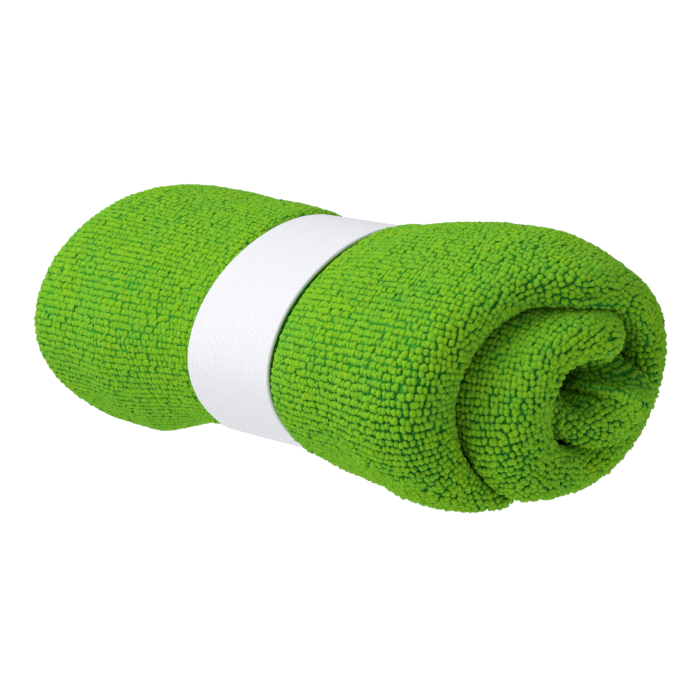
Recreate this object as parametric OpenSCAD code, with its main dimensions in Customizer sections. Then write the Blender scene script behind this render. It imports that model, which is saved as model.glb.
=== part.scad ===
// A small loop-pile towel, folded in four, rolled up and held by a wide elastic band.
// X runs along the roll, Z is up, and the roll lies on the plane Z = 0.

/* [Towel cloth] */
// Length of the flat towel, folded in four along this side
flat_l = 750; // [720:5:780]
// Width of the flat towel, rolled up along this side
flat_w = 300; // [290:5:320]
// Distance from one ply to the next in the folded bundle
ply_pitch = 3.4; // [3.2:0.1:3.6]
// Clear gap between two plies
ply_gap = 0.3; // [0.2:0.05:0.4]

/* [Roll] */
// Turns that the folded bundle makes
turns = 2.25; // [2.2:0.05:2.3]
// Clear gap between two turns
turn_gap = 0.8; // [0.6:0.1:1]
// Direction of the outer end, in degrees from +Y over +Z
tail_angle = 250; // [245:1:255]
// Width of the section as a multiple of its height
widening = 1.14; // [1.1:0.01:1.18]
// Thickness of the outer end as a share of the bundle
tail_squeeze = 0.5; // [0.4:0.05:0.8]
// Thickness of the inner end as a share of the bundle
core_squeeze = 0.75; // [0.6:0.05:0.9]
// Distance of the roll's middle from the middle of the whole, across the roll
axis_y = 7.1; // [6:0.1:9]
// Height of the roll's middle over the surface it lies on
axis_h = 33.4; // [33:0.1:34]
// How far the turn beside the outer end settles onto the surface
settle = 8.6; // [8.5:0.1:9.5]
// Depth of the waist under the band, as a share of the radius
waist = 0.135; // [0.12:0.005:0.14]
// Length over which the waist runs out on each side of the band
waist_run = 37; // [35:1:45]
// Height of the cloth's underside at the waist
waist_floor = 8.5; // [7:0.1:9]
// Length over which the underside comes down from the waist towards the folded end
near_floor_run = 12; // [10:1:20]
// Length over which the underside comes down from the waist towards the hemmed end
far_floor_run = 35; // [20:1:40]
// How much fuller the top of the roll is on the folded end's side
crown = 2.2; // [1:0.1:3]
// How far the folded end draws in, as a share of the radius
near_tuck = 0.4; // [0.2:0.01:0.45]
// Length over which the folded end draws in
near_run = 35; // [20:1:40]
// How far the hemmed end draws in, as a share of the radius
far_tuck = 0.18; // [0.1:0.01:0.3]
// Length over which the hemmed end draws in
far_run = 23; // [20:1:40]

/* [Hems] */
// Width of the overlocked thread beyond the cloth's edge
hem_w = 1.5; // [1:0.1:2]
// Room between the cloth's edge and the thread
hem_gap = 0.1; // [0.05:0.05:0.2]

/* [Elastic band] */
// Width of the band
band_w = 33; // [28:1:38]
// Where the middle of the band lies along the roll
band_x = -4; // [-6:1:0]
// Thickness of the band
band_t = 1.4; // [1.2:0.1:1.6]
// Clear gap between the cloth and the band
band_gap = 0.4; // [0.3:0.05:0.6]
// Rubber strands across the band's width
strand_count = 16; // [8:1:20]
// Thickness of a rubber strand
strand_t = 0.4; // [0.3:0.05:0.5]
// Width of a rubber strand
strand_w = 1; // [0.6:0.1:1.2]
// Stitches in each row that closes the band
lap_stitches = 9; // [5:1:12]
// Diameter of the sewing thread
thread_d = 0.5; // [0.4:0.05:0.6]

/* [Hidden] */

// How far short of half the folded length the folded end stops, at each turn counted from the core
near_short = [[0, 9], [0.3, 3], [0.54, 1.5], [0.64, 11], [0.75, 4], [1, 5], [1.3, 10], [1.75, 3], [1.84, 5],
    [1.92, 15], [2.03, 18], [2.14, 24], [2.25, 25]];
// The same for the hemmed end
far_short = [[0, 10], [0.5, 4], [1, 3.6], [1.5, 14], [2, 8], [2.25, 12]];
// Places along a ply where its height over the axis is set: shares of its reach, or millimetres where over 1
stations = [-1, -0.86, -0.68, -0.5, -0.27, 15, 31, 0.6, 0.8, 1];
// How the section departs from round, as shares of the radius: [cosine, sine] once, twice and three times round
section = [[-0.042, 0.024], [0.047, 0.026], [-0.019, -0.015]];
// How far the ends of the roll lean along it, as [cosine, sine] round the roll
near_lean = [0.3, 1.7];
far_lean = [3.8, -1.9];
lean_from = 15;
lean_run = 75;
steps_per_turn = 24;
outer_fold_steps = 6;
inner_fold_steps = 4;
tail_taper = 0.2;
core_taper = 0.15;
settle_angle = 275;
settle_spread = 45;
crown_angle = 75;
crown_spread = 50;
crown_end = 80;
crown_run = 20;
// Distance beyond the band at which the underside starts down and the crown starts up
change_from = 6;
layer_squash = 0.8;
lap_facet = 2;
lap_facets = 3;
// Part of a turn beyond the outer end over which the next turn still lies on top of it
step_share = 0.05;
band_steps = 48;

plies = 4;
ply_t = ply_pitch - ply_gap;
bundle_t = plies * ply_pitch - ply_gap;
turn_pitch = bundle_t + turn_gap;
core_r = (flat_w / (PI * turns) - turn_pitch * turns) / 2;
roll_r = core_r + turn_pitch * turns;
outer_fold_r = 1.5 * ply_pitch;
inner_fold_r = 0.5 * ply_pitch;
knit_t = (band_t - strand_t) / 2;
half_l = flat_l / (2 * plies);
near_reach = [for (p = near_short) [p[0], half_l - p[1]]];
far_reach = [for (p = far_short) [p[0], half_l - p[1]]];
end_x = max([for (p = near_reach) p[1]]);

// The bundle in the roll

function ease(t) = let (u = min(max(t, 0), 1)) u * u * (3 - 2 * u);
function tail_share(turn) = 1 - (1 - tail_squeeze) * ease((turn - turns + tail_taper) / tail_taper);
function core_share(turn) = 1 - (1 - core_squeeze) * ease((core_taper - turn) / core_taper);
function squeeze(turn) = tail_share(turn) * core_share(turn);
function direction(turn) = tail_angle + 360 * (turn - turns);
function mid_r(turn) = core_r + turn_pitch * turn
    + (tail_share(turn) - core_share(turn)) * bundle_t / 2;

// 1 at the band, and 0 beyond the given run on each side of it
function near_band(x, run) = 1 - ease((abs(x - band_x) - band_w / 2) / run);
function end_share(x) = ease((abs(x - band_x) - lean_from) / lean_run);
function round_end(x, run) = let (q = min(max((x - end_x + run) / run, 0), 1)) 1 - sqrt(1 - q * q);
function girth(x) = 1 - waist * near_band(x, waist_run)
    - near_tuck * round_end(x, near_run) - far_tuck * round_end(-x, far_run);

// 1 in one direction, falling off round the roll on each side of it
function towards(angle, middle, spread) = let (away = ((angle - middle) % 360 + 540) % 360 - 180)
    exp(-pow(away / spread, 2));
function out_of_round(angle) = section[0] * [cos(angle), sin(angle)]
    + section[1] * [cos(2 * angle), sin(2 * angle)] + section[2] * [cos(3 * angle), sin(3 * angle)];
function loosened(r, angle) = r + pow(r / roll_r, 2)
    * (r * out_of_round(angle) + settle * towards(angle, settle_angle, settle_spread));

// Cloth that lies between a layer and the surface below
function layers_under(turn, n) = (bundle_t / 2 - n) * squeeze(turn)
    + (turn + 1 < turns + step_share ? turn_pitch * squeeze(turn + 1) : 0);
function past_band(x) = abs(x - band_x) - band_w / 2 - change_from;
function floor_z(x, under) = layer_squash * under
    + waist_floor * (1 - ease(past_band(x) / (x > band_x ? near_floor_run : far_floor_run)));
function fuller(x, angle) = crown * towards(angle, crown_angle, crown_spread)
    * (x > band_x ? ease(past_band(x) / crown_run) : 0) * ease((crown_end - x) / crown_run);

// The point at a turn of the roll, a place along X, and a height n in the bundle
function place(turn, x, n) =
    let (
        angle = direction(turn),
        around = loosened(mid_r(turn) + n * squeeze(turn), angle) * girth(x),
        r = around + pow(around / roll_r, 2) * fuller(x, angle),
        round_roll = [cos(angle), sin(angle)],
        lean = end_share(x) * (x > band_x ? near_lean : far_lean) * round_roll,
        z = axis_h + r * round_roll[1]
    )
    [x + lean * r / roll_r, axis_y + widening * r * round_roll[0], max(z, floor_z(x, layers_under(turn, n)))];

// The folded path of the cloth, as [x, n, normal x, normal n] for one turn

function near_x(turn) = lookup(turn, near_reach) - outer_fold_r - ply_t / 2;
function far_x(turn) = -lookup(turn, far_reach) + inner_fold_r + ply_t / 2;
function at_station(turn, place) =
    place > 1 ? place : place > 0 ? place * near_x(turn) : -place * far_x(turn);
function run_out(turn, n) = [for (s = stations) [at_station(turn, s), n, 0, 1]];
function run_back(turn, n) = [for (i = [len(stations) - 1 : -1 : 0]) [at_station(turn, stations[i]), n, 0, -1]];
function near_fold(turn, r, steps, way) = [for (i = [1 : steps - 1])
    let (a = way * (180 * i / steps - 90))
    [near_x(turn) + r * cos(a), r * sin(a), -way * cos(a), -way * sin(a)]];
function far_fold(turn) = [for (i = [1 : inner_fold_steps - 1])
    let (a = 90 + 180 * i / inner_fold_steps)
    [far_x(turn) + inner_fold_r * cos(a), ply_pitch + inner_fold_r * sin(a), -cos(a), -sin(a)]];
function fold_path(turn) = concat(
    run_out(turn, -1.5 * ply_pitch),
    near_fold(turn, outer_fold_r, outer_fold_steps, 1),
    run_back(turn, 1.5 * ply_pitch),
    far_fold(turn),
    run_out(turn, 0.5 * ply_pitch),
    near_fold(turn, inner_fold_r, inner_fold_steps, -1),
    run_back(turn, -0.5 * ply_pitch));

// Both faces of a strip of cloth round its path, as one closed ring
function strip_ring(turn, path) = concat(
    [for (p = path) place(turn, p[0] + p[2] * ply_t / 2, p[1] + p[3] * ply_t / 2)],
    [for (i = [len(path) - 1 : -1 : 0]) let (p = path[i])
        place(turn, p[0] - p[2] * ply_t / 2, p[1] - p[3] * ply_t / 2)]);

// A solid through rings of the same number of points; the two ends are closed as folded strips
module swept(rings) {
    count = len(rings[0]);
    last = len(rings) - 1;
    sides = [for (k = [0 : last - 1], i = [0 : count - 1])
        let (j = (i + 1) % count, a = k * count, b = a + count)
        each [[a + i, a + j, b + j], [a + i, b + j, b + i]]];
    caps = [for (i = [0 : count / 2 - 2])
        let (j = count - 1 - i, e = last * count)
        each [[i, j, i + 1], [i + 1, j, j - 1], [e + i, e + i + 1, e + j], [e + i + 1, e + j - 1, e + j]]];
    polyhedron(points = [for (ring = rings) each ring], faces = concat(sides, caps));
}

function spaced(from, to, steps) = [for (i = [0 : steps]) from + (to - from) * i / steps];
roll_turns = spaced(0, turns, round(turns * steps_per_turn));
// Turn that a width beyond the outer or inner end takes up
function hem_turn(w, turn) = w / (2 * PI * mid_r(turn));

module towel_cloth() {
    color("#6fb41e")
        swept([for (turn = roll_turns) strip_ring(turn, fold_path(turn))]);
}

// The overlocked edge that ends the roll, under its left side
module tail_hem_thread() {
    color("#5f9f1a")
        swept([for (w = [hem_gap, hem_w]) strip_ring(turns + hem_turn(w, turns), fold_path(turns))]);
}

// The overlocked edge that starts the roll, in its core
module core_hem_thread() {
    color("#5f9f1a")
        swept([for (w = [-hem_w, -hem_gap]) strip_ring(hem_turn(w, 0), fold_path(0))]);
}

// An overlocked short edge, which follows the spiral at the roll's far end
module short_hem(n) {
    color("#5f9f1a")
        swept([for (turn = roll_turns)
            strip_ring(turn, [[far_x(turn) - hem_w, n, 0, 1], [far_x(turn) - hem_gap, n, 0, 1]])]);
}

module short_hem_thread_a() {
    short_hem(-1.5 * ply_pitch);
}

module short_hem_thread_b() {
    short_hem(-0.5 * ply_pitch);
}

// The band round the waist

// Section of the roll under the band, from one side of the outer end's thread round to the other
last_turn = turns + hem_turn(hem_w, turns);
waist_section = [for (turn = spaced(last_turn - 1, last_turn, band_steps))
    let (p = place(turn, band_x, bundle_t / 2))
    [p[1], p[2]]];

function bends_left(a, b, c) = cross(b - a, c - b) > 0;
function drop_last(list) = [for (i = [0 : len(list) - 2]) list[i]];
function add_corner(out, p) = len(out) < 2 || bends_left(out[len(out) - 2], out[len(out) - 1], p)
    ? concat(out, [p])
    : add_corner(drop_last(out), p);
function taut(points, i = 0, out = []) = i == len(points) ? out : taut(points, i + 1, add_corner(out, points[i]));

// The taut loop starts at the left, well away from the step at the outer end
left_first = [for (i = [0 : band_steps - 1]) waist_section[(i + round(band_steps * 0.8)) % (band_steps + 1)]];
loop = taut(left_first);

function outward(a, b) = let (d = (b - a) / norm(b - a)) [d[1], -d[0]];
function grown(points, by) = [for (i = [0 : len(points) - 1])
    let (
        before = outward(points[(i + len(points) - 1) % len(points)], points[i]),
        after = outward(points[i], points[(i + 1) % len(points)]),
        mid = before + after
    )
    points[i] + mid * (2 * by / (mid * mid))];

// Stands a drawing in the Y-Z plane up and gives it a length along X
module along_x(from, length) {
    translate([from, 0, 0])
        rotate([90, 0, 90])
            linear_extrude(length) children();
}

module hoop(from, length, inner, outer) {
    along_x(from, length)
        difference() {
            polygon(grown(loop, outer));
            polygon(grown(loop, inner));
        }
}

module band_inner_knit() {
    color("#f1f2f8")
        hoop(band_x - band_w / 2, band_w, band_gap, band_gap + knit_t);
}

module band_rubber_strands() {
    pitch = band_w / strand_count;
    color("#e6e4dc")
        for (i = [0 : strand_count - 1])
            hoop(band_x - band_w / 2 + (i + 0.5) * pitch - strand_w / 2, strand_w,
                band_gap + knit_t, band_gap + knit_t + strand_t);
}

// Corners of the stretch at the back where the strap's end laps over itself
function lap_corner(i, by) = grown(loop, by)[(lap_first + i) % len(loop)];
lap_first = round(len(loop) * 0.5) + lap_facet;
lap_base = band_gap + band_t;
stitch_base = lap_base + band_t + thread_d * 0.55;

module band_outer_knit() {
    color("#f5f6fb")
        union() {
            hoop(band_x - band_w / 2, band_w, band_gap + knit_t + strand_t, lap_base);
            along_x(band_x - band_w / 2, band_w)
                polygon(concat(
                    [for (i = [0 : lap_facets]) lap_corner(i, lap_base - knit_t / 2)],
                    [for (i = [lap_facets : -1 : 0]) lap_corner(i, lap_base + band_t)]));
        }
}

// Two rows of short stitches across the lap
module band_lap_stitches() {
    color("#ffffff")
        for (row = [0, lap_facets - 1]) {
            a = lap_corner(row, stitch_base);
            b = lap_corner(row + 1, stitch_base);
            mid = (a + b) / 2;
            pitch = band_w / lap_stitches;
            for (i = [0 : lap_stitches - 1])
                translate([band_x - band_w / 2 + (i + 0.5) * pitch, mid[0], mid[1]])
                    rotate([atan2(b[1] - a[1], b[0] - a[0]), 0, 0])
                        rotate([0, 90, 0])
                            cylinder(h = pitch * 0.7, d = thread_d, center = true, $fn = 8);
        }
}

towel_cloth();
tail_hem_thread();
core_hem_thread();
short_hem_thread_a();
short_hem_thread_b();
band_outer_knit();
band_rubber_strands();
band_inner_knit();
band_lap_stitches();
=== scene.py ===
"""A small loop-pile towel, folded in four, rolled up and held by a white knitted elastic band."""

import math

import bpy
import numpy as np
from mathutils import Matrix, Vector
from mathutils.bvhtree import BVHTree


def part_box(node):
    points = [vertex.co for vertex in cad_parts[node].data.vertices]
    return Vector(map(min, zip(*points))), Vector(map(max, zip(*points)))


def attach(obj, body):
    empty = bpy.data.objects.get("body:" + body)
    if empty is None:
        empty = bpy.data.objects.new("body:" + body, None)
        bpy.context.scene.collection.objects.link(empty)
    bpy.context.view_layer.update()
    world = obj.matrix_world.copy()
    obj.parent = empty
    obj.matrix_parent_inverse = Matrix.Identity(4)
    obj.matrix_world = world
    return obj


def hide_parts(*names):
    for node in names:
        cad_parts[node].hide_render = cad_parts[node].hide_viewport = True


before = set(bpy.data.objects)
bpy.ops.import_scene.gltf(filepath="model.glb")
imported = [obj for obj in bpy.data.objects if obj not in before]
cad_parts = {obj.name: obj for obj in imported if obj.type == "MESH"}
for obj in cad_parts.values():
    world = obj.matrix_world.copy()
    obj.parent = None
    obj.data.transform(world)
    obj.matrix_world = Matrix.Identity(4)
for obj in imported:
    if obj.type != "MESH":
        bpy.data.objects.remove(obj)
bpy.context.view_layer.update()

MM = 0.001

# ------------------------------------------------------------ Camera and studio

LENS_MM = 107.2
SENSOR_MM = 36.0
CAMERA_DISTANCE = 0.6
CAMERA_AZIMUTH = 44.9
CAMERA_ELEVATION = 12.2
AIM = Vector((-0.0009, 0.005, 0.0297))

WORLD_LIGHT = 0.4
FLOOR_LIGHT = 1.0
FLOOR_SIZE = 12

scene = bpy.context.scene


def stand_around(obj, azimuth, elevation, distance):
    """Puts a camera or lamp at an azimuth (0 looks along +Y) and an elevation, facing the aim."""
    a, e = math.radians(azimuth), math.radians(elevation)
    away = Vector((math.sin(a) * math.cos(e), -math.cos(a) * math.cos(e), math.sin(e)))
    obj.location = AIM + distance * away
    obj.rotation_euler = (AIM - obj.location).to_track_quat("-Z", "Y").to_euler()


def make_camera():
    data = bpy.data.cameras.new("camera")
    data.lens = LENS_MM
    data.sensor_width = SENSOR_MM
    data.clip_end = 10.0
    cam = bpy.data.objects.new("camera", data)
    stand_around(cam, CAMERA_AZIMUTH, CAMERA_ELEVATION, CAMERA_DISTANCE)
    scene.collection.objects.link(cam)
    scene.camera = cam


def area_light(name, azimuth, elevation, distance, size, power):
    data = bpy.data.lights.new(name, "AREA")
    data.shape = "DISK"
    data.size = size
    data.energy = power
    lamp = bpy.data.objects.new(name, data)
    stand_around(lamp, azimuth, elevation, distance)
    scene.collection.objects.link(lamp)


def make_world():
    """White to look at, and dimmer as a light, so that the lamps shape the towel."""
    world = bpy.data.worlds.new("studio")
    world.use_nodes = True
    tree = world.node_tree
    seen = tree.nodes["Background"]
    seen.inputs["Color"].default_value = (1.0, 1.0, 1.0, 1)
    shining = tree.nodes.new("ShaderNodeBackground")
    shining.inputs["Color"].default_value = (1.0, 1.0, 1.0, 1)
    shining.inputs["Strength"].default_value = WORLD_LIGHT
    path = tree.nodes.new("ShaderNodeLightPath")
    mixed = tree.nodes.new("ShaderNodeMixShader")
    tree.links.new(path.outputs["Is Camera Ray"], mixed.inputs[0])
    tree.links.new(shining.outputs[0], mixed.inputs[1])
    tree.links.new(seen.outputs[0], mixed.inputs[2])
    tree.links.new(mixed.outputs[0], tree.nodes["World Output"].inputs["Surface"])
    scene.world = world


def make_studio():
    scene.view_settings.view_transform = "Standard"
    make_world()
    area_light("key", azimuth=-35, elevation=62, distance=1.4, size=1.6, power=17.0)
    area_light("fill", azimuth=-20, elevation=15, distance=1.6, size=1.4, power=8.0)
    bpy.ops.mesh.primitive_plane_add(size=FLOOR_SIZE)
    floor = bpy.context.object
    floor.name = "floor"
    material = bpy.data.materials.new("floor")
    material.use_nodes = True
    shader = material.node_tree.nodes["Principled BSDF"]
    shader.inputs["Base Color"].default_value = (0.05, 0.05, 0.05, 1)
    shader.inputs["Roughness"].default_value = 1.0
    shader.inputs["Specular IOR Level"].default_value = 0.0
    shader.inputs["Emission Color"].default_value = (1.0, 1.0, 1.0, 1)
    shader.inputs["Emission Strength"].default_value = FLOOR_LIGHT
    floor.data.materials.append(material)


make_camera()
make_studio()

# ------------------------------------------------------------ Materials


class Shader:
    """Short calls for the nodes of one material."""

    def __init__(self, name, roughness, sheen=0.0, specular=0.2):
        self.material = bpy.data.materials.new(name)
        self.material.use_nodes = True
        self.tree = self.material.node_tree
        self.shader = self.tree.nodes["Principled BSDF"]
        self.shader.inputs["Roughness"].default_value = roughness
        self.shader.inputs["Sheen Weight"].default_value = sheen
        self.shader.inputs["Sheen Roughness"].default_value = 0.5
        self.shader.inputs["Specular IOR Level"].default_value = specular

    def node(self, kind, **settings):
        made = self.tree.nodes.new(kind)
        for key, value in settings.items():
            setattr(made, key, value)
        return made

    def link(self, source, target):
        self.tree.links.new(source, target)

    def attribute(self, name):
        return self.node("ShaderNodeAttribute", attribute_name=name).outputs["Fac"]

    def noise(self, scale, detail):
        made = self.node("ShaderNodeTexNoise")
        made.inputs["Scale"].default_value = scale
        made.inputs["Detail"].default_value = detail
        self.link(self.node("ShaderNodeTexCoord").outputs["Object"], made.inputs["Vector"])
        return made.outputs["Fac"]

    def ramp(self, factor, *stops):
        made = self.node("ShaderNodeValToRGB")
        ramp = made.color_ramp
        while len(ramp.elements) < len(stops):
            ramp.elements.new(0.5)
        for element, (position, colour) in zip(ramp.elements, stops):
            element.position = position
            element.color = (*colour, 1)
        self.link(factor, made.inputs["Fac"])
        return made.outputs["Color"]

    def maths(self, operation, a, b):
        made = self.node("ShaderNodeMath", operation=operation)
        for socket, value in zip(made.inputs, (a, b)):
            if isinstance(value, (int, float)):
                socket.default_value = value
            else:
                self.link(value, socket)
        return made.outputs["Value"]

    def tinted(self, colour, tint):
        made = self.node("ShaderNodeMix", data_type="RGBA", blend_type="MULTIPLY")
        made.inputs["Factor"].default_value = 1.0
        self.link(colour, made.inputs["A"])
        self.link(tint, made.inputs["B"])
        return made.outputs["Result"]

    def colour(self, source):
        self.link(source, self.shader.inputs["Base Color"])

    def bump(self, height, distance, strength):
        made = self.node("ShaderNodeBump")
        made.inputs["Distance"].default_value = distance
        made.inputs["Strength"].default_value = strength
        self.link(height, made.inputs["Height"])
        self.link(made.outputs["Normal"], self.shader.inputs["Normal"])


def plain_material(name, colour):
    """A plain finish that a mesh keeps under the patterned one."""
    made = bpy.data.materials.new(name)
    made.use_nodes = True
    made.node_tree.nodes["Principled BSDF"].inputs["Base Color"].default_value = (*colour, 1)
    made.node_tree.nodes["Principled BSDF"].inputs["Roughness"].default_value = 0.9
    return made


# Pile colours from tip to root: the tips hold the lit colour, and painted shade darkens the sides, the gaps
# and the roots between loops.
PILE_TIP = (0.225, 0.505, 0.015)
PILE_SIDE_SHADE = (0.175, 0.475, 0.021)
PILE_ROOT_SHADE = (0.02, 0.19, 0.016)
PILE_GAP_SHADE = (0.07, 0.42, 0.045)
THREAD_GREEN = (0.16, 0.42, 0.02)
KNIT_WHITE = (0.88, 0.885, 0.93)
RUBBER = (0.72, 0.70, 0.64)


def pile_material():
    """Loops with painted shade that darkens them towards their roots and in the gaps, and the lit
    yellow-green at their tips; no two quite alike.
    """
    s = Shader("terry_loops", roughness=0.9, sheen=0.04, specular=0.03)
    height = s.attribute("pile_height_and_painted_light")
    tone = s.attribute("pile_tone")
    # Painted shade by height: dark at the roots and in the gaps, lit at the tips.
    body = s.ramp(height, (0.0, PILE_ROOT_SHADE), (0.25, PILE_GAP_SHADE), (0.45, PILE_SIDE_SHADE), (0.85, PILE_TIP))
    patches = s.ramp(s.noise(90.0, 3.0), (0.35, (0.88, 0.98, 1.3)), (0.62, (1.04, 1.01, 0.9)))
    tones = s.ramp(tone, (0.0, (0.75, 0.93, 1.4)), (0.1, (0.92, 0.98, 1.1)), (1.0, (1.05, 1.02, 0.92)))
    s.colour(s.tinted(s.tinted(body, patches), tones))
    s.bump(s.noise(3000.0, 3.0), 0.0004, 0.9)
    return s.material


def ground_material():
    """The cloth between the loops, coloured in the painted shade of the loops' roots and gaps."""
    s = Shader("terry_ground", roughness=0.95, specular=0.02)
    s.colour(s.ramp(s.noise(700.0, 3.0), (0.3, PILE_ROOT_SHADE), (0.9, PILE_GAP_SHADE)))
    s.bump(s.noise(1500.0, 3.0), 0.0004, 0.8)
    return s.material


def thread_material(name, colour):
    s = Shader(name, roughness=0.7, sheen=0.3, specular=0.3)
    dark = tuple(0.72 * c for c in colour)
    s.colour(s.ramp(s.noise(2500.0, 2.0), (0.35, dark), (0.65, colour)))
    s.bump(s.noise(6000.0, 2.0), 0.0001, 0.6)
    return s.material


# Millimetres from rib to rib across the band, and from stitch to stitch along it
RIB_PITCH = 1.16
STITCH_PITCH = 0.62
STITCH_LEAN = 1.6
# Knit colours from groove to rib top: painted shade darkens the grooves and the sides of the stitches.
KNIT_SHADE = (0.6, 0.61, 0.68)
KNIT_SIDE_SHADE = (0.71, 0.72, 0.76)
KNIT_TOP = (0.76, 0.765, 0.79)


def knit_material():
    """White ribs, each with small stitches that slant one way up its side and the other way down, with
    painted shade in the grooves.
    """
    s = Shader("elastic_knit", roughness=0.85, specular=0.1)
    across = s.maths("DIVIDE", s.attribute("across"), RIB_PITCH)
    along = s.maths("DIVIDE", s.attribute("along"), STITCH_PITCH)
    zigzag = s.maths("PINGPONG", across, 0.5)
    lean = s.maths("MULTIPLY", zigzag, STITCH_LEAN)
    phase = s.maths("MULTIPLY", s.maths("ADD", along, lean), 2 * math.pi)
    stitch = s.maths("MULTIPLY", s.maths("ADD", s.maths("SINE", phase, 0), 1.0), 0.5)
    groove = s.maths("MULTIPLY", zigzag, 2.0)
    height = s.maths("ADD", s.maths("MULTIPLY", stitch, 0.5), groove)
    # Painted shade in the grooves, lighter on the rib tops.
    s.colour(s.ramp(height, (0.0, KNIT_SHADE), (0.5, KNIT_SIDE_SHADE), (1.0, KNIT_TOP)))
    s.bump(height, 0.00012, 0.7)
    return s.material


def rubber_material():
    s = Shader("rubber_strands", roughness=0.55, specular=0.4)
    s.colour(s.ramp(s.noise(900.0, 2.0), (0.3, tuple(0.85 * c for c in RUBBER)), (0.7, RUBBER)))
    s.bump(s.noise(2500.0, 2.0), 0.0001, 0.4)
    return s.material


PILE = pile_material()
GROUND = ground_material()
HEM = thread_material("hem_thread", THREAD_GREEN)
SEWING = thread_material("sewing_thread", (0.86, 0.86, 0.9))
KNIT = knit_material()
RUBBER_STRANDS = rubber_material()
PLAIN = {
    "green": plain_material("plain_green", PILE_TIP),
    "dark_green": plain_material("plain_dark_green", PILE_SIDE_SHADE),
    "white": plain_material("plain_white", KNIT_WHITE),
    "rubber": plain_material("plain_rubber", RUBBER),
}


def finish_piece(obj, material, plain):
    """Gives a piece its patterned finish on the object, over a plain one in its mesh."""
    if not obj.data.materials:
        obj.data.materials.append(PLAIN[plain])
    obj.material_slots[0].link = "OBJECT"
    obj.material_slots[0].material = material


def mesh_piece(name, points, faces, attributes=None):
    """A smooth mesh object from millimetre points and four-sided faces, with values stored on its points."""
    faces = np.asarray(faces, dtype=np.int32)
    mesh = bpy.data.meshes.new(name)
    mesh.vertices.add(len(points))
    mesh.vertices.foreach_set("co", (np.asarray(points) * MM).astype(np.float32).ravel())
    mesh.loops.add(faces.size)
    mesh.loops.foreach_set("vertex_index", faces.ravel())
    mesh.polygons.add(len(faces))
    mesh.polygons.foreach_set("loop_start", np.arange(0, faces.size, 4, dtype=np.int32))
    mesh.update(calc_edges=True)
    mesh.validate()
    mesh.polygons.foreach_set("use_smooth", np.full(len(mesh.polygons), True))
    for key, values in (attributes or {}).items():
        layer = mesh.attributes.new(key, "FLOAT", "POINT")
        layer.data.foreach_set("value", np.asarray(values, dtype=np.float32).ravel())
    obj = bpy.data.objects.new(name, mesh)
    scene.collection.objects.link(obj)
    return obj


def ring_faces(rows, ring, closed):
    """Faces between rings of points, which lie in a run with open ends or in a closed hoop."""
    k, i = np.meshgrid(np.arange(rows if closed else rows - 1), np.arange(ring), indexing="ij")
    j, k2 = (i + 1) % ring, (k + 1) % rows
    return np.stack([k * ring + i, k * ring + j, k2 * ring + j, k2 * ring + i], -1).reshape(-1, 4)


# ------------------------------------------------------------ The rolled sheet, in millimetres

FLAT_LENGTH = 750.0
FLAT_WIDTH = 300.0
PLY_PITCH = 3.4
PLY_GAP = 0.3
TURNS = 2.25
TURN_GAP = 0.8
# Direction of the outer end, in degrees from +Y over +Z
TAIL_ANGLE = 250.0
WIDENING = 1.14
# How thin the outer and inner ends are pressed, as shares of the bundle
TAIL_SQUEEZE = 0.5
CORE_SQUEEZE = 0.75
AXIS_Y = 7.1
AXIS_H = 33.4
# How far the outer turns settle onto the surface, and where round the roll
SETTLE, SETTLE_ANGLE, SETTLE_SPREAD = 8.6, 275.0, 45.0
# The waist under the band as a share of the radius, and the height of the underside there
WAIST, WAIST_RUN = 0.135, 37.0
WAIST_FLOOR, NEAR_FLOOR_RUN, FAR_FLOOR_RUN, CHANGE_FROM = 8.5, 12.0, 35.0, 4.0
CROWN, CROWN_ANGLE, CROWN_SPREAD, CROWN_END, CROWN_RUN = 1.3, 75.0, 50.0, 80.0, 20.0
# How far the two ends draw in, as shares of the radius
NEAR_TUCK, NEAR_RUN = 0.4, 35.0
FAR_TUCK, FAR_RUN = 0.18, 23.0
# How the section departs from round, as (cosine, sine) shares once, twice and three times round
SECTION = ((-0.042, 0.024), (0.047, 0.026), (-0.019, -0.015))
# How far the ends lean along the roll, as (cosine, sine) round it
NEAR_LEAN = (0.3, 1.7)
FAR_LEAN = (3.8, -1.9)
LEAN_FROM, LEAN_RUN = 15.0, 75.0
TAIL_TAPER, CORE_TAPER = 0.2, 0.15
LAYER_SQUASH = 0.8
SOFTNESS = 1.2
# How far short of half the folded length the folded end and the hemmed end stop, by turn from the core
NEAR_SHORT = ((0, 16), (0.14, 13), (0.3, 4), (0.54, 1.5), (0.61, 13), (0.67, 13), (0.74, 4), (1, 5),
              (1.3, 9), (1.52, 7), (1.75, 3.5), (1.84, 6), (1.89, 15), (1.95, 19), (2.03, 21), (2.14, 21),
              (2.25, 20))
FAR_SHORT = ((0, 10), (0.5, 4), (1, 3.6), (1.5, 14), (2, 8), (2.25, 12))
# How far the folded end swells, as (first turn, last turn, turns to come and go, millimetres)
OUT_SWELLS = ((0.24, 0.62, 0.08, 3.5), (0.68, 1.1, 0.08, 1.5))
LIP_SWELLS = ((0.24, 0.62, 0.08, 0.5),)
LOW_SWELLS = ((1.06, 1.31, 0.1, 4.0),)
IN_SWELLS = ((0.38, 0.8, 0.12, 4.5), (-0.2, 0.34, 0.1, -4.0))
# Where along the roll each of these begins and over what length it comes; the lip grows with the turn
OUT_START, OUT_RUN = 77.0, 13.0
LIP_START, LIP_RUN = 0.28, 0.24
LOW_START, LOW_RUN = 66.0, 10.0
IN_START, IN_RUN = 70.0, 12.0
# Pinches at the folded end, as (turn, spread in turns, millimetres), and their spread through the bundle
PLEATS = ((1.82, 0.04, 3.2), (1.65, 0.05, 1.5))
PLEAT_SPREAD = 2.6
# Lumps of the soft roll, as (millimetres, length along the roll, times round it, start)
LUMPS = ((0.35, 9, 2, 0), (0.3, 14, -3, 1.3), (0.25, 5.5, 1, 0.4))

# The cloth between its loops is thinner than the ply with its pile
GROUND_T = 1.2
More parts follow.
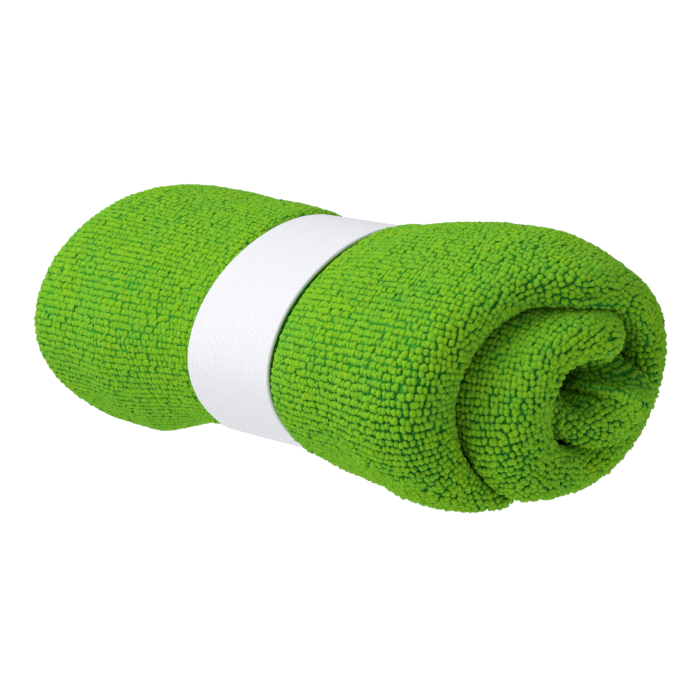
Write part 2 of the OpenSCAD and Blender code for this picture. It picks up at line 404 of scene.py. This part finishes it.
# Part of a turn beyond the outer end over which the next turn still lies on top of it
STEP_SHARE, STEP_SOFT = 0.05, 0.04
STEP_REACH, STEP_END = 12, 8

band_lo, band_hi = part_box("band_outer_knit")
BAND_W = (band_hi[0] - band_lo[0]) / MM
BAND_X = (band_hi[0] + band_lo[0]) / 2 / MM
BAND_GAP = 0.4
# Swelling beside the band on the folded end's side and on the other: all round, and more on the upper back
NEAR_SWELL, FAR_SWELL = (2.4, 1.4), (0.8, 3.0)
SWELL_ANGLE, SWELL_SPREAD = 65.0, 50.0
SWELL_RISE, SWELL_FALL = 4, 26

PLY_T = PLY_PITCH - PLY_GAP
BUNDLE_T = 4 * PLY_PITCH - PLY_GAP
TURN_PITCH = BUNDLE_T + TURN_GAP
CORE_R = (FLAT_WIDTH / (math.pi * TURNS) - TURN_PITCH * TURNS) / 2
ROLL_R = CORE_R + TURN_PITCH * TURNS
OUTER_FOLD_R = 1.5 * PLY_PITCH
INNER_FOLD_R = 0.5 * PLY_PITCH
HALF_LENGTH = FLAT_LENGTH / 8
END_X = HALF_LENGTH - min(short for _, short in NEAR_SHORT)


def ease(t):
    u = np.clip(t, 0, 1)
    return u * u * (3 - 2 * u)


def through(points, t):
    """A smooth curve through given (place, value) points."""
    xs, ys = np.array(points, float).T
    slopes = np.gradient(ys, xs)
    t = np.clip(t, xs[0], xs[-1])
    i = np.clip(np.searchsorted(xs, t) - 1, 0, len(xs) - 2)
    step = xs[i + 1] - xs[i]
    u = (t - xs[i]) / step
    a = (1 + 2 * u) * (1 - u) ** 2 * ys[i] + u * u * (3 - 2 * u) * ys[i + 1]
    return a + step * (u * (1 - u) ** 2 * slopes[i] - u * u * (1 - u) * slopes[i + 1])


def highest(a, b, softness):
    """The greater of two heights, with the change from one to the other rounded off."""
    overlap = np.maximum(softness - np.abs(a - b), 0) / softness
    return np.maximum(a, b) + overlap**2 * softness / 4


def tail_share(turn):
    return 1 - (1 - TAIL_SQUEEZE) * ease((turn - TURNS + TAIL_TAPER) / TAIL_TAPER)


def core_share(turn):
    return 1 - (1 - CORE_SQUEEZE) * ease((CORE_TAPER - turn) / CORE_TAPER)


def squeeze(turn):
    return tail_share(turn) * core_share(turn)


def direction(turn):
    return TAIL_ANGLE + 360 * (turn - TURNS)


def mid_radius(turn):
    return CORE_R + TURN_PITCH * turn + (tail_share(turn) - core_share(turn)) * BUNDLE_T / 2


def near_band(x, run):
    return 1 - ease((np.abs(x - BAND_X) - BAND_W / 2) / run)


def end_share(x):
    return ease((np.abs(x - BAND_X) - LEAN_FROM) / LEAN_RUN)


def round_end(x, run):
    q = np.clip((x - END_X + run) / run, 0, 1)
    return 1 - np.sqrt(1 - q * q)


def girth(x):
    return (1 - WAIST * near_band(x, WAIST_RUN)
            - NEAR_TUCK * round_end(x, NEAR_RUN) - FAR_TUCK * round_end(-x, FAR_RUN))


def towards(angle, middle, spread):
    away = (angle - middle + 180) % 360 - 180
    return np.exp(-((away / spread) ** 2))


def out_of_round(angle):
    a = np.radians(angle)
    return sum(c * np.cos(k * a) + s * np.sin(k * a) for k, (c, s) in enumerate(SECTION, 1))


def loosened(r, angle):
    settled = SETTLE * towards(angle, SETTLE_ANGLE, SETTLE_SPREAD)
    return r + (r / ROLL_R) ** 2 * (r * out_of_round(angle) + settled)


def layers_under(turn, x, n):
    """How much cloth lies between a layer and the surface below; the turn below it may stop short."""
    below = ease((TURNS + STEP_SHARE - turn - 1) / STEP_SOFT)
    below = below * ease((near_x(TURNS) + STEP_REACH - x) / STEP_END)
    return (BUNDLE_T / 2 - n) * squeeze(turn) + below * TURN_PITCH * squeeze(np.minimum(turn + 1, TURNS))


def past_band(x):
    return np.abs(x - BAND_X) - BAND_W / 2 - CHANGE_FROM


def floor_z(x, under):
    run = np.where(x > BAND_X, NEAR_FLOOR_RUN, FAR_FLOOR_RUN)
    return WAIST_FLOOR * (1 - ease(past_band(x) / run)) + LAYER_SQUASH * under


def fuller(x, angle):
    """How much fuller the top is on the folded end's side."""
    along = np.where(x > BAND_X, ease(past_band(x) / CROWN_RUN), 0) * ease((CROWN_END - x) / CROWN_RUN)
    return CROWN * towards(angle, CROWN_ANGLE, CROWN_SPREAD) * along


def between(t, first, last, soft):
    return ease((t - first) / soft) * ease((last - t) / soft)


def swell(turn, swells):
    return sum(between(turn, first, last, soft) * amount for first, last, soft, amount in swells)


def flare(turn, x, n):
    """How far the folded end swells: its outer plies over the turn round it, its inner ones inwards."""
    outer_plies = ease((n + BUNDLE_T / 2) / BUNDLE_T)
    lip = swell(turn, LIP_SWELLS) * ease((turn - LIP_START) / LIP_RUN)
    outward = (swell(turn, OUT_SWELLS) + lip) * ease((x - OUT_START) / OUT_RUN)
    low = swell(turn, LOW_SWELLS) * ease((x - LOW_START) / LOW_RUN)
    inward = swell(turn, IN_SWELLS) * ease((x - IN_START) / IN_RUN)
    return (outward + low) * outer_plies - inward * (1 - outer_plies)


def pleat(turn, x, n):
    """Pinches that draw the middle of the folded end in at the top of the outer turn."""
    depth = sum(deep * np.exp(-(((turn - middle) / spread) ** 2)) for middle, spread, deep in PLEATS)
    return depth * np.exp(-((n / PLEAT_SPREAD) ** 2)) * ease((x - near_x(turn) + 1) / 4)


def snug(x, angle):
    """How the soft cloth swells up beside the band, most on its upper back."""
    beside = np.abs(x - BAND_X) - BAND_W / 2
    above = towards(angle, SWELL_ANGLE, SWELL_SPREAD)
    near, far = (all_round + top * above for all_round, top in (NEAR_SWELL, FAR_SWELL))
    along = ease(beside / SWELL_RISE) * (1 - ease((beside - SWELL_RISE) / SWELL_FALL))
    return np.where(x > BAND_X, near, far) * along


def lumps(x, angle):
    """Gentle unevenness of the soft roll."""
    a = np.radians(angle)
    return sum(size * np.sin(x / length + times * a + start) for size, length, times, start in LUMPS)


def place(turn, x, n):
    """The point at a turn of the roll, a place along X and a height n in the folded bundle."""
    turn, x, n = np.broadcast_arrays(turn, x, n)
    angle = direction(turn)
    r = loosened(mid_radius(turn) + n * squeeze(turn), angle) * girth(x) + flare(turn, x, n)
    uneven = lumps(x, angle) * (1 - near_band(x, 10))
    r = r + (r / ROLL_R) ** 2 * (fuller(x, angle) + snug(x, angle) + uneven)
    x = x - pleat(turn, x, n)
    c, s = np.cos(np.radians(angle)), np.sin(np.radians(angle))
    near_lean, far_lean = (along * c + across * s for along, across in (NEAR_LEAN, FAR_LEAN))
    lean = end_share(x) * np.where(x > BAND_X, near_lean, far_lean)
    z = highest(AXIS_H + r * s, floor_z(x, layers_under(turn, x, n)), SOFTNESS)
    return np.stack([x + lean * r / ROLL_R, AXIS_Y + WIDENING * r * c, z], axis=-1)


# The folded path from one short edge to the other: four runs joined by three folds
OUTER_ARC = math.pi * OUTER_FOLD_R
INNER_ARC = math.pi * INNER_FOLD_R


def near_x(turn):
    return HALF_LENGTH - through(NEAR_SHORT, turn) - OUTER_FOLD_R - PLY_T / 2


def far_x(turn):
    return INNER_FOLD_R + PLY_T / 2 + through(FAR_SHORT, turn) - HALF_LENGTH


def sheet_point(turn, v, out):
    """The point at a turn, a distance v along the folded path and a distance out of the cloth's middle."""
    turn, v, out = np.broadcast_arrays(turn, v, out)
    near, far = near_x(turn), far_x(turn)
    run = near - far
    outer_arc, inner_arc = np.full_like(run, OUTER_ARC), np.full_like(run, INNER_ARC)
    ends = np.cumsum([run, outer_arc, run, inner_arc, run, inner_arc, run], axis=0)
    outer_a = (v - ends[0]) / OUTER_FOLD_R - math.pi / 2
    far_a = (v - ends[2]) / INNER_FOLD_R + math.pi / 2
    inner_a = math.pi / 2 - (v - ends[4]) / INNER_FOLD_R
    parts = [v < ends[0], v < ends[1], v < ends[2], v < ends[3], v < ends[4], v < ends[5]]
    x = np.select(parts, [
        far + v,
        near + (OUTER_FOLD_R + out) * np.cos(outer_a),
        near - (v - ends[1]),
        far + (INNER_FOLD_R + out) * np.cos(far_a),
        far + (v - ends[3]),
        near + (INNER_FOLD_R - out) * np.cos(inner_a),
    ], near - (v - ends[5]))
    n = np.select(parts, [
        -1.5 * PLY_PITCH - out,
        (OUTER_FOLD_R + out) * np.sin(outer_a),
        1.5 * PLY_PITCH + out,
        PLY_PITCH + (INNER_FOLD_R + out) * np.sin(far_a),
        0.5 * PLY_PITCH - out,
        (INNER_FOLD_R - out) * np.sin(inner_a),
    ], -0.5 * PLY_PITCH + out)
    return place(turn, x, n)


def path_length(turn):
    return 4 * (near_x(turn) - far_x(turn)) + OUTER_ARC + 2 * INNER_ARC


def path_samples(turn):
    """Distances along the folded path, finer in its folds."""
    run = near_x(turn) - far_x(turn)
    lengths = [run, OUTER_ARC, run, INNER_ARC, run, INNER_ARC, run]
    steps = [RUN_STEPS, OUTER_STEPS, RUN_STEPS, INNER_STEPS, RUN_STEPS, INNER_STEPS, RUN_STEPS]
    out, start = [], 0.0
    for length, count in zip(lengths, steps):
        out.append(start + length * np.arange(count) / count)
        start += length
    out.append([start])
    return np.concatenate(out)


# ------------------------------------------------------------ The cloth

# Steps in one turn, along a run, and round the outer and the inner folds
ROW_STEPS = 150
RUN_STEPS = 60
OUTER_STEPS = 16
INNER_STEPS = 8


def strip_faces(rows, ring):
    """Faces of a closed tube of rings; each ring goes out on one face of the strip and back on the other."""
    sides = ring_faces(rows, ring, False)
    i = np.arange(ring // 2 - 1)
    j = ring - 1 - i
    last = (rows - 1) * ring
    first_cap = np.stack([i, j, j - 1, i + 1], -1)
    last_cap = np.stack([last + i, last + i + 1, last + j - 1, last + j], -1)
    return np.concatenate([sides, first_cap, last_cap])


def make_cloth():
    """The cloth itself, without its loops."""
    turns = np.linspace(0, TURNS, int(TURNS * ROW_STEPS) + 1)
    rings = []
    for turn in turns:
        v = path_samples(turn)
        face = sheet_point(turn, v, GROUND_T / 2)
        back = sheet_point(turn, v[::-1], -GROUND_T / 2)
        rings.append(np.concatenate([face, back]))
    points = np.array(rings)
    faces = strip_faces(len(turns), points.shape[1])
    obj = mesh_piece("towel_sheet", points.reshape(-1, 3), faces[:, ::-1])
    finish_piece(obj, GROUND, "dark_green")
    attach(obj, "towel")
    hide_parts("towel_cloth")
    return obj


cloth = make_cloth()

# ------------------------------------------------------------ The loop pile

# Spacing of the rows and of the loops in a row, and one loop's size
LOOP_ROW = 1.95
LOOP_STEP = 1.42
LOOP_RADIUS = 0.84
LOOP_HEIGHT = 1.45
LOOP_SPAN = 0.8
LOOP_SEGMENTS = 6
LOOP_SIDES = 6
PILE_PARTS = 14
# How far a loop has to be open to be seen, the least room above it, and its least height over the floor
OPEN_WAY = 22.0
FAR_AWAY = 30.0
LEAST_ROOM = 0.9
LEAST_LIFT = 0.25
# Spacing below which every other row of loops stops
CROWDED = 1.3
# A small part of a turn
NUDGE = 0.002
# How much loops differ, as shares of their size, and how far they stray along and across their row
HEIGHT_SPREAD, RADIUS_SPREAD, SPAN_SPREAD, UNEVEN = 0.13, 0.12, 0.15, 0.1
STRAY_ALONG, STRAY_ACROSS = 0.15, 0.1
# Twist of a loop in radians, and its leans along and across the row: the middle value and the spread
TWIST_SPREAD = 0.3
LEAN_ALONG_SPREAD = 0.25
LEAN_ACROSS, LEAN_ACROSS_SPREAD = -0.6, 0.3
# How much lower and thinner loops are under the band
BAND_LOWER, BAND_THINNER = 0.5, 0.3
# Where along the roll the folded end's upright pile gives way to combed pile, and over what length
COMB_START, COMB_RUN, COMB_ALONG = 70, 80, 0.8
# The least upward slope of combed pile on top of the roll, and over what slope it comes
TOP_START, TOP_RUN, COMB_ON_TOP = 0.1, 0.6, 0.6
# How much lower, fatter, longer and flatter combed loops are, and how much lighter they are painted: painted
# light that lifts the painted shade between loops on top of the roll and towards the far end
COMB_LOWER, COMB_FATTER, COMB_LONGER, COMB_FLATTER, COMB_PAINTED_LIGHT = 0.5, 0.28, 0.75, 0.4, 0.55

rng = np.random.default_rng(7)


def exterior_length(turn):
    """Path distance from the first short edge to just round the far fold, which is all that can be seen."""
    return 2 * (near_x(turn) - far_x(turn)) + OUTER_ARC + 0.9 * INNER_ARC


def loop_rows():
    """Turns at which rows of loops lie, evenly spaced on the outside of the bundle."""
    fine = np.linspace(0, TURNS, 4000)
    radius = (mid_radius(fine) + BUNDLE_T / 2) * (1 + WIDENING) / 2
    arc = np.concatenate([[0], np.cumsum((radius[1:] + radius[:-1]) / 2 * 2 * math.pi * np.diff(fine))])
    return np.interp(np.arange(0.7, arc[-1], LOOP_ROW), arc, fine)


def loop_roots():
    """Where loops could stand: a turn and a path distance for each, evenly spaced on the cloth itself."""
    turns, places = [], []
    for row, turn in enumerate(loop_rows()):
        fine = np.linspace(0.3, exterior_length(turn), 900)
        points = sheet_point(turn, fine, GROUND_T / 2)
        length = np.concatenate([[0], np.cumsum(np.linalg.norm(np.diff(points, axis=0), axis=1))])
        v = np.interp(np.arange((row % 2) * LOOP_STEP / 2, length[-1], LOOP_STEP), length, fine)
        beside = sheet_point(turn + NUDGE, v, GROUND_T / 2) - sheet_point(turn - NUDGE, v, GROUND_T / 2)
        row_turn = LOOP_ROW / (2 * math.pi * (mid_radius(turn) + BUNDLE_T / 2) * (1 + WIDENING) / 2)
        pitch = np.linalg.norm(beside, axis=1) / (2 * NUDGE) * row_turn
        kept = (pitch > CROWDED) | (row % 2 == 0) & (pitch > CROWDED / 2) | (row % 4 == 0)
        turns.append(np.full(kept.sum(), turn))
        places.append(v[kept])
    turns, places = np.concatenate(turns), np.concatenate(places)
    places = places + rng.normal(0, STRAY_ALONG, len(places))
    stray = STRAY_ACROSS / (2 * math.pi * np.maximum(mid_radius(turns), 8))
    turns = np.clip(turns + rng.normal(0, 1, len(turns)) * stray, NUDGE, TURNS - NUDGE)
    return turns, places


def frames_at(turn, v):
    """Root point, direction along the row, direction across it and outward normal."""
    root = sheet_point(turn, v, GROUND_T / 2)
    along = sheet_point(turn, v + 0.4, GROUND_T / 2) - sheet_point(turn, v - 0.4, GROUND_T / 2)
    step = 0.5 / (2 * math.pi * np.maximum(mid_radius(turn), 5))
    across = sheet_point(turn + step, v, GROUND_T / 2) - sheet_point(turn - step, v, GROUND_T / 2)
    along /= np.linalg.norm(along, axis=1, keepdims=True)
    across -= along * np.sum(along * across, axis=1, keepdims=True)
    across /= np.linalg.norm(across, axis=1, keepdims=True)
    out = np.cross(along, across)
    lifted = sheet_point(turn, v, GROUND_T / 2 + 0.5) - root
    out *= np.sign(np.sum(out * lifted, axis=1, keepdims=True))
    return root, along, across, out


def slanting_rays():
    """Directions in which a loop may be seen, as (along, across, out) shares."""
    rays = []
    for lean, count in ((0.6, 5), (1.1, 7)):
        for i in range(count):
            a = 2 * math.pi * (i + lean) / count
            rays.append((math.sin(lean) * math.cos(a), math.sin(lean) * math.sin(a), math.cos(lean)))
    return rays


def seen_roots(turn, v):
    """The room above each root from which the open is in reach, and the frames of those roots."""
    root, along, across, out = frames_at(turn, v)
    tree = BVHTree.FromPolygons(
        [tuple(p) for p in np.array([vert.co for vert in cloth.data.vertices]) / MM],
        [tuple(p.vertices) for p in cloth.data.polygons])
    rays = slanting_rays()
    keep, room = [], []
    for i in range(len(root)):
        origin = Vector(root[i] + out[i] * 0.15)
        hit = tree.ray_cast(origin, Vector(out[i]), FAR_AWAY)
        above = hit[3] if hit[0] is not None else FAR_AWAY
        if above < LEAST_ROOM or root[i][2] < LEAST_LIFT:
            continue
        seen = above > OPEN_WAY
        for a, b, c in rays:
            if seen:
                break
            ray = Vector(a * along[i] + b * across[i] + c * out[i])
            hit = tree.ray_cast(origin, ray, OPEN_WAY)
            seen = hit[0] is None
        if seen:
            keep.append(i)
            room.append(above)
    return np.array(room), (root[keep], along[keep], across[keep], out[keep])


def combed_share(root, out):
    """How flat the pile is combed: upright on the folded end, flatter towards the far end and on top."""
    along = ease((COMB_START - root[:, 0]) / COMB_RUN) * COMB_ALONG
    on_top = COMB_ON_TOP * ease((out[:, 2] - TOP_START) / TOP_RUN)
    return np.clip(along + on_top, 0, 1)


def loop_lines(root, along, across, out, room, combed):
    """The middle line of each loop, its direction sideways and its thickness."""
    count = len(root)
    under_band = near_band(root[:, 0], 1.5)
    height = LOOP_HEIGHT * (1 + HEIGHT_SPREAD * rng.normal(0, 1, count))
    height = np.clip(height, 0.7, 1.7) * (1 - BAND_LOWER * under_band) * (1 - COMB_LOWER * combed)
    height = np.minimum(height, np.maximum(root[:, 2] + 0.1, 0.4))
    height = np.minimum(height, 0.75 * room)
    radius = LOOP_RADIUS * (1 + RADIUS_SPREAD * rng.normal(0, 1, count))
    radius = radius * (1 - BAND_THINNER * under_band) * (1 + COMB_FATTER * combed)
    span = LOOP_SPAN * (1 + SPAN_SPREAD * rng.normal(0, 1, count)) * (1 + COMB_LONGER * combed)
    twist = rng.normal(0, TWIST_SPREAD, count)
    lean_along = LEAN_ALONG_SPREAD * rng.normal(0, 1, count)
    lean_across = LEAN_ACROSS + LEAN_ACROSS_SPREAD * rng.normal(0, 1, count)

    cos_t, sin_t = np.cos(twist)[:, None], np.sin(twist)[:, None]
    side = along * cos_t + across * sin_t
    forth = across * cos_t - along * sin_t
    lean = lean_along[:, None] * along + lean_across[:, None] * across

    bend = np.linspace(0, math.pi, LOOP_SEGMENTS + 1)
    rise = np.sin(bend) ** 0.8
    fore = -0.5 * np.cos(bend)
    top = (rise[None, :] * (height - radius * 0.8).clip(0.1)[:, None])[..., None]
    centre = (fore[None, :] * span[:, None])[..., None] * forth[:, None, :]
    centre = centre + top * out[:, None, :]
    centre = centre + (rise**1.5)[None, :, None] * (height[:, None] * 0.6)[..., None] * lean[:, None, :]
    centre = centre + root[:, None, :] - 0.25 * out[:, None, :]
    return centre, side, radius[:, None] * (0.66 + 0.34 * rise[None, :])


def loop_tubes(centre, side, fat, combed):
    """Rings of points round each loop's middle line, flatter where the pile is combed."""
    tangent = np.gradient(centre, axis=1)
    tangent /= np.linalg.norm(tangent, axis=2, keepdims=True)
    b1 = np.broadcast_to(side[:, None, :], centre.shape)
    b1 = b1 - tangent * np.sum(b1 * tangent, axis=2, keepdims=True)
    b1 /= np.linalg.norm(b1, axis=2, keepdims=True)
    b2 = np.cross(tangent, b1) * (1 - COMB_FLATTER * combed)[:, None, None]
    ring = np.arange(LOOP_SIDES) * 2 * math.pi / LOOP_SIDES
    cos_r, sin_r = np.cos(ring)[None, None, :, None], np.sin(ring)[None, None, :, None]
    uneven = UNEVEN * rng.normal(0, 1, (len(centre), LOOP_SEGMENTS + 1, LOOP_SIDES, 1))
    fat = fat[:, :, None, None] * (1 + uneven)
    points = centre[:, :, None, :] + fat * (cos_r * b1[:, :, None, :] + sin_r * b2[:, :, None, :])
    points[..., 2] = np.maximum(points[..., 2], 0.02)
    return points


def make_pile():
    """Every loop that can be seen, in pieces that follow one another along the roll."""
    turn, v = loop_roots()
    room, (root, along, across, out) = seen_roots(turn, v)
    combed = combed_share(root, out)
    centre, side, fat = loop_lines(root, along, across, out, room, combed)
    points = loop_tubes(centre, side, fat, combed)
    lift = np.sum((points - root[:, None, None, :]) * out[:, None, None, :], axis=3)
    # Painted light: combed loops, on top of the roll and towards the far end, are painted lighter, with less
    # of the painted shade at their roots.
    lift = lift + COMB_PAINTED_LIGHT * combed[:, None, None]
    tone = np.broadcast_to(rng.uniform(0, 1, len(root))[:, None, None], lift.shape)

    per_loop = (LOOP_SEGMENTS + 1) * LOOP_SIDES
    one = ring_faces(LOOP_SEGMENTS + 1, LOOP_SIDES, False)
    order = np.argsort(root[:, 0])
    pieces = []
    for part, chosen in enumerate(np.array_split(order, PILE_PARTS)):
        faces = (np.arange(len(chosen))[:, None, None] * per_loop + one[None]).reshape(-1, 4)
        obj = mesh_piece(f"terry_loops_{part + 1}", points[chosen].reshape(-1, 3), faces,
                         {"pile_height_and_painted_light": lift[chosen] / 1.3, "pile_tone": tone[chosen]})
        finish_piece(obj, PILE, "green")
        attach(obj, "towel")
        pieces.append(obj)
    return pieces


pile = make_pile()

# ------------------------------------------------------------ The elastic band

BAND_STEPS = 420
SMOOTHINGS = 20
# How far the band sinks into the pile, and where its layers lie through its thickness
BAND_SINK = 0.5
INNER_KNIT = (0.0, 0.4)
STRANDS = (0.42, 0.78)
OUTER_KNIT = (0.8, 1.2)
KNIT_COLUMNS = 112
RIB_DEPTH = 0.025
EDGE_ROUND = 0.6
STRAND_COUNT = 16
STRAND_W = 1.0
LAP_T, LAP_LENGTH, LAP_SOFT = 0.9, 10.0, 0.7
# The sewing thread, its two rows' places along the band, its zigzags and how far they swing
THREAD_D = 0.42
STITCH_ROWS = (-3.0, 3.0)
STITCHES = 13
STITCH_SWING = 0.9
STITCH_MARGIN = 1.5
NO_LAP = np.zeros(BAND_STEPS)


def taut_loop():
    """The band's course round the waist in Y and Z, from the middle of its lap; it bridges hollows."""
    turn = np.linspace(TURNS - 1, TURNS, 241)
    outside = PLY_T / 2 + BAND_GAP - BAND_SINK
    v = near_x(turn) - far_x(turn) + OUTER_ARC + near_x(turn) - BAND_X
    section = sheet_point(turn, v, outside)[:, 1:]
    section = section[np.lexsort((section[:, 1], section[:, 0]))]

    def chain(points):
        """The corners that bend left, which leaves one side of the loop round sorted points."""
        out = []
        for p in points:
            while len(out) > 1:
                (ax, ay), (bx, by) = out[-1] - out[-2], p - out[-1]
                if ax * by - ay * bx > 0:
                    break
                out.pop()
            out.append(p)
        return out[:-1]

    corners = np.array(chain(section) + chain(section[::-1]))
    closed = np.vstack([corners, corners[:1]])
    lengths = np.concatenate([[0], np.cumsum(np.linalg.norm(np.diff(closed, axis=0), axis=1))])
    s = np.linspace(0, lengths[-1], BAND_STEPS, endpoint=False)
    loop = np.stack([np.interp(s, lengths, closed[:, 0]), np.interp(s, lengths, closed[:, 1])], -1)
    for _ in range(SMOOTHINGS):
        loop = (np.roll(loop, 1, 0) + 2 * loop + np.roll(loop, -1, 0)) / 4
    stitch_lo, stitch_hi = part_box("band_lap_stitches")
    lap_middle = np.array([stitch_lo[1] + stitch_hi[1], stitch_lo[2] + stitch_hi[2]]) / 2 / MM
    loop = np.roll(loop, -int(np.argmin(np.linalg.norm(loop - lap_middle, axis=1))), axis=0)
    tangent = np.roll(loop, -1, 0) - np.roll(loop, 1, 0)
    tangent /= np.linalg.norm(tangent, axis=1, keepdims=True)
    return loop, np.stack([tangent[:, 1], -tangent[:, 0]], -1), lengths[-1]


LOOP, LOOP_OUT, LOOP_LENGTH = taut_loop()


def course(steps, profile, lap=NO_LAP):
    """Rings of an (x, height) profile carried round the band's course, raised by any lap under them."""
    xs, heights = np.array(profile, float).T
    points = np.empty((len(steps), len(xs), 3))
    points[..., 0] = BAND_X + xs
    lift = heights + lap[steps, None]
    points[..., 1:] = LOOP[steps][:, None, :] + lift[..., None] * LOOP_OUT[steps][:, None, :]
    return points


def knit_profile(inner, outer, lip, width=BAND_W):
    """Section of a knit face: ribbed a little outside, rounded at its edges, with lips down both sides."""
    across = np.linspace(-width / 2, width / 2, KNIT_COLUMNS + 1)
    edge = np.clip((width / 2 - np.abs(across)) / EDGE_ROUND, 0, 1)
    ribs = RIB_DEPTH * (1 + np.cos(2 * math.pi * (across + width / 2) / RIB_PITCH))
    top = outer - ribs - 0.3 * (1 - edge) ** 2
    bottom = np.where(edge > 0.75, inner, lip + 0.12 * (1 - edge))
    return np.concatenate([np.stack([across, top], -1), np.stack([across, bottom], -1)[::-1]])


def knit_face(name, profile, node, lap=NO_LAP):
    """One knit face of the band, with each point's place across and along it for the ribs."""
    steps = np.arange(BAND_STEPS)
    points = course(steps, profile, lap)
    ring = len(profile)
    along = np.broadcast_to((steps * LOOP_LENGTH / BAND_STEPS)[:, None], (BAND_STEPS, ring))
    across = np.broadcast_to((profile[:, 0] + BAND_W / 2)[None], (BAND_STEPS, ring))
    faces = ring_faces(BAND_STEPS, ring, True)
    obj = mesh_piece(name, points.reshape(-1, 3), faces, {"across": across, "along": along})
    finish_piece(obj, KNIT, "white")
    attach(obj, "band")
    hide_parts(node)
    return obj


STEP_LENGTH = LOOP_LENGTH / BAND_STEPS


def lap_rise():
    """How far the strap's end lifts the outer face at each step round the band, whose first is mid-lap."""
    half = BAND_STEPS / 2
    from_lap = ((np.arange(BAND_STEPS) + half) % BAND_STEPS - half) * STEP_LENGTH
    return LAP_T * between(from_lap, -LAP_LENGTH / 2, LAP_LENGTH / 2, LAP_SOFT)


outer_profile = knit_profile(*OUTER_KNIT, INNER_KNIT[0] + 0.1)
inner_profile = knit_profile(*INNER_KNIT, INNER_KNIT[0], BAND_W - 1.6)
outer_knit = knit_face("band_outer_face", outer_profile, "band_outer_knit", lap_rise())
inner_knit = knit_face("band_inner_face", inner_profile, "band_inner_knit")


def make_strands():
    """Flat rubber strands between the two knit faces, which make the band elastic."""
    steps = np.arange(0, BAND_STEPS, 2)
    points, faces = [], []
    low, high = STRANDS
    pitch = (BAND_W - 2) / STRAND_COUNT
    for i in range(STRAND_COUNT):
        x = -BAND_W / 2 + 1 + (i + 0.5) * pitch
        left, right = x - STRAND_W / 2, x + STRAND_W / 2
        profile = [(left, low), (left, high), (right, high), (right, low)]
        faces.append(ring_faces(len(steps), 4, True) + 4 * len(steps) * i)
        points.append(course(steps, profile).reshape(-1, 3))
    obj = mesh_piece("rubber_strands", np.concatenate(points), np.concatenate(faces))
    finish_piece(obj, RUBBER_STRANDS, "rubber")
    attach(obj, "band")
    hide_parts("band_rubber_strands")


make_strands()


def make_stitches():
    """Two rows of zigzag thread that close the lap of the band."""
    points, faces = [], []
    ring = np.arange(6) * math.pi / 3
    cos_r, sin_r = np.cos(ring)[None, :, None], np.sin(ring)[None, :, None]
    xs = np.linspace(-BAND_W / 2 + STITCH_MARGIN, BAND_W / 2 - STITCH_MARGIN, STITCHES * 8 + 1)
    phase = (xs - xs[0]) / (xs[-1] - xs[0]) * STITCHES * 2 * math.pi
    height = OUTER_KNIT[1] + LAP_T + 0.1 + 0.12 * np.cos(2 * phase)
    for row in STITCH_ROWS:
        along = (row + STITCH_SWING * np.arcsin(0.98 * np.sin(phase))) / STEP_LENGTH
        low = np.floor(along).astype(int)
        share = (along - low)[:, None]
        beside = np.array([course(np.array([step % BAND_STEPS, (step + 1) % BAND_STEPS]), [(x, h)])[:, 0]
                           for step, x, h in zip(low, xs, height)])
        line = beside[:, 0] * (1 - share) + beside[:, 1] * share
        tangent = np.gradient(line, axis=0)
        tangent /= np.linalg.norm(tangent, axis=1, keepdims=True)
        up = np.concatenate([np.zeros((len(line), 1)), LOOP_OUT[low % BAND_STEPS]], axis=1)
        side = np.cross(tangent, up)
        side /= np.linalg.norm(side, axis=1, keepdims=True)
        up = np.cross(side, tangent)
        tube = line[:, None] + THREAD_D / 2 * (cos_r * side[:, None] + sin_r * up[:, None])
        faces.append(ring_faces(len(line), 6, False) + sum(len(p) for p in points))
        points.append(tube.reshape(-1, 3))
    obj = mesh_piece("lap_stitches", np.concatenate(points), np.concatenate(faces))
    finish_piece(obj, SEWING, "white")
    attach(obj, "band")
    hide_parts("band_lap_stitches")


make_stitches()

# ------------------------------------------------------------ The overlocked edges

HEM_HALF_WIDTH = 1.3
HEM_HALF_HEIGHT = 0.9
HEM_STEP = 0.42
HEM_STITCH = 1.7
HEM_RIDGE = 0.12
HEM_SIDES = 8


def make_hem(name, node, turn, v):
    """Overlock stitches round an edge: a ridged strip along one turn or one end of the folded path."""
    along = sheet_point(turn, v, 0.0)
    s = np.concatenate([[0], np.cumsum(np.linalg.norm(np.diff(along, axis=0), axis=1))])
    steps = np.arange(0, s[-1], HEM_STEP)
    turn, v = np.interp(steps, s, turn), np.interp(steps, s, v)
    ring = np.arange(HEM_SIDES) * 2 * math.pi / HEM_SIDES
    ridge = 1 + HEM_RIDGE * np.sin(2 * math.pi * steps / HEM_STITCH)[:, None]
    width = HEM_HALF_WIDTH * np.cos(ring) * ridge
    height = HEM_HALF_HEIGHT * np.sin(ring) * ridge
    if turn[0] == turn[-1]:
        turns = turn[:, None] + width / (2 * math.pi * mid_radius(turn[0]))
        points = sheet_point(turns, v[:, None], height)
    else:
        points = sheet_point(turn[:, None], v[:, None] + width, height)
    obj = mesh_piece(name, points.reshape(-1, 3), ring_faces(len(steps), HEM_SIDES, False))
    finish_piece(obj, HEM, "dark_green")
    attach(obj, "towel")
    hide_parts(node)


def make_hems():
    """The two long edges, at the tail and in the core, and the two short ones, which follow the spiral."""
    shares = np.linspace(0, 1, 1500)
    for name, turn, node in (("tail_hem", TURNS, "tail_hem_thread"), ("core_hem", 0.0, "core_hem_thread")):
        make_hem(name, node, np.full_like(shares, turn), shares * path_length(turn))
    turns = shares * TURNS
    make_hem("short_hem_a", "short_hem_thread_a", turns, np.zeros_like(turns))
    make_hem("short_hem_b", "short_hem_thread_b", turns, path_length(turns))


make_hems()
